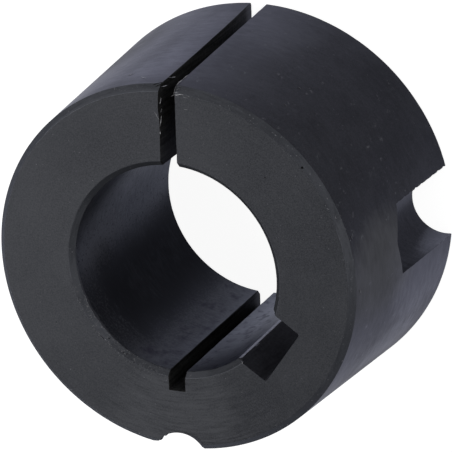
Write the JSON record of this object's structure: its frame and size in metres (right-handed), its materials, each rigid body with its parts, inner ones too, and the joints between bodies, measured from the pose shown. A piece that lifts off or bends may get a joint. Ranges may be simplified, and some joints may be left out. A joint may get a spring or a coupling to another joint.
{
  "type": "taper bush",
  "caption": "Split tapered sleeve with a keyed bore that clamps a pulley or sprocket hub to a shaft as screws draw it into the hub's taper.",
  "frame": {"origin": "on the bore's axis at the large end face, which the bush stands on", "axes": "+Z along the bore's axis from the large end to the small end, +Y out through the middle of the split"},
  "size_m": [0.0382, 0.0382, 0.0222],
  "materials": {
    "iron": "turned dark grey iron, satin taper with a bluish sheen, matt faced ends, sawn split"
  },
  "bodies": {
    "root": {"bush": "iron"}
  },
  "joints": []
}
